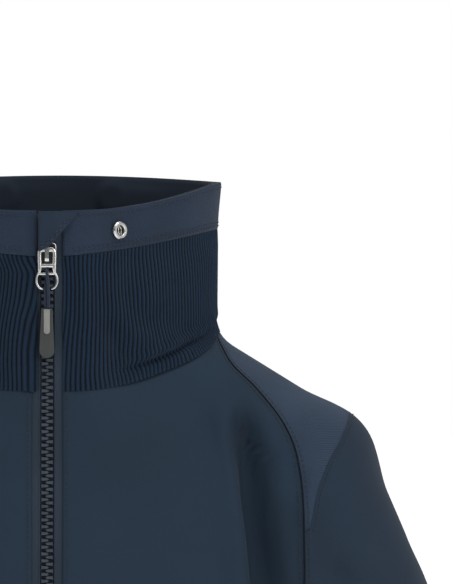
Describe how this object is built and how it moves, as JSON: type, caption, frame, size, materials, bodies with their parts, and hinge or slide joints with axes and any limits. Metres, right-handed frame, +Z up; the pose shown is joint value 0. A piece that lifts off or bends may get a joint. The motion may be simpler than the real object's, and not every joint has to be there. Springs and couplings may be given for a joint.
{
  "type": "foul weather jacket",
  "caption": "Zip-front sailing jacket with a high ribbed stand-up collar, snap sockets for a hood, raglan sleeves, hand pockets and cuff tabs.",
  "frame": {"origin": "on the neck's axis, level with the collar seam at the front zip", "axes": "+Z up, -Y out of the front, +X to the wearer's left"},
  "size_m": [0.6162, 0.2457, 0.7715],
  "materials": {
    "shell_cloth": "matt plain weave with a water-repellent finish",
    "shoulder_cloth": "matt fine twill",
    "sleeve_cloth": "matt plain weave",
    "rib_cloth": "matt ribbed knit",
    "band_cloth": "matt twill",
    "lining_cloth": "matt",
    "pocket_cloth": "matt",
    "tape_cloth": "woven tape",
    "teeth_plastic": "moulded, half gloss",
    "bright_metal": "polished",
    "cord_cloth": "braided",
    "tab_rubber": "matt",
    "inlay_rubber": "smooth"
  },
  "bodies": {
    "jacket": {"back_lining": "lining_cloth", "back_panel": "shell_cloth", "collar_band": "band_cloth", "collar_lining": "lining_cloth", "collar_rib": "rib_cloth", "front_lining_left": "lining_cloth", "front_lining_right": "lining_cloth", "front_panel_left": "shell_cloth", "front_panel_right": "shell_cloth", "hanger_loop": "tape_cloth", "hood_snap_back_left": "bright_metal", "hood_snap_back_right": "bright_metal", "hood_snap_front_left": "bright_metal", "hood_snap_front_right": "bright_metal", "pocket_bag_left": "pocket_cloth", "pocket_bag_right": "pocket_cloth", "pocket_zip_left": "teeth_plastic", "pocket_zip_right": "teeth_plastic", "shoulder_panel_left": "shoulder_cloth", "shoulder_panel_right": "shoulder_cloth", "sleeve_left": "sleeve_cloth", "sleeve_lining_left": "lining_cloth", "sleeve_lining_right": "lining_cloth", "sleeve_right": "sleeve_cloth", "snap_cap_back_left": "bright_metal", "snap_cap_back_right": "bright_metal", "snap_cap_front_left": "bright_metal", "snap_cap_front_right": "bright_metal", "storm_flap": "lining_cloth", "zip_garage": "band_cloth", "zip_retainer_box": "teeth_plastic", "zip_retainer_pin": "teeth_plastic", "zip_tape_left": "tape_cloth", "zip_tape_right": "tape_cloth", "zip_teeth_left": "teeth_plastic", "zip_teeth_right": "teeth_plastic", "zip_top_stop_left": "teeth_plastic", "zip_top_stop_right": "teeth_plastic"},
    "slider": {"zip_slider": "bright_metal", "slider_crown": "bright_metal"},
    "pull": {"zip_pull": "bright_metal"},
    "tab": {"pull_cord": "cord_cloth", "pull_tab": "tab_rubber", "tab_inlay": "inlay_rubber"},
    "left_cuff_tab": {"cuff_tab_left": "shell_cloth"},
    "right_cuff_tab": {"cuff_tab_right": "shell_cloth"},
    "left_pocket_slider": {"pocket_slider_left": "bright_metal"},
    "right_pocket_slider": {"pocket_slider_right": "bright_metal"},
    "left_pocket_pull": {"pocket_pull_left": "tab_rubber"},
    "right_pocket_pull": {"pocket_pull_right": "tab_rubber"}
  },
  "joints": [
    {"name": "main_zip", "type": "slide", "parent": "jacket", "child": "slider", "axis": [0, -0.045, -0.999], "range_m": [0, 0.702]},
    {"name": "pull_swing", "type": "hinge", "parent": "slider", "child": "pull", "pos_m": [0, -0.0948, 0.08558], "axis": [-1, 0, 0], "range_deg": [0, 72]},
    {"name": "tab_swing", "type": "hinge", "parent": "pull", "child": "tab", "pos_m": [0, -0.09543, 0.07159], "axis": [-1, 0, 0], "range_deg": [0, 90]},
    {"name": "cuff_tab_left_peel", "type": "hinge", "parent": "jacket", "child": "left_cuff_tab", "pos_m": [0.3032, 0.0212, -0.54], "axis": [-0.117, 0, 0.9931], "range_deg": [0, 70]},
    {"name": "cuff_tab_right_peel", "type": "hinge", "parent": "jacket", "child": "right_cuff_tab", "pos_m": [-0.3032, 0.0212, -0.54], "axis": [-0.117, 0, -0.9931], "range_deg": [0, 70]},
    {"name": "pocket_zip_left_slide", "type": "slide", "parent": "jacket", "child": "left_pocket_slider", "axis": [0.032, -0.0269, -0.9991], "range_m": [0, 0.13]},
    {"name": "pocket_pull_left_swing", "type": "hinge", "parent": "left_pocket_slider", "child": "left_pocket_pull", "pos_m": [0.11078, -0.09609, -0.33682], "axis": [-0.8888, -0.458, -0.0162], "range_deg": [0, 80]},
    {"name": "pocket_zip_right_slide", "type": "slide", "parent": "jacket", "child": "right_pocket_slider", "axis": [-0.032, -0.0269, -0.9991], "range_m": [0, 0.13]},
    {"name": "pocket_pull_right_swing", "type": "hinge", "parent": "right_pocket_slider", "child": "right_pocket_pull", "pos_m": [-0.11078, -0.09609, -0.33682], "axis": [-0.8888, 0.458, 0.0162], "range_deg": [0, 80]}
  ]
}
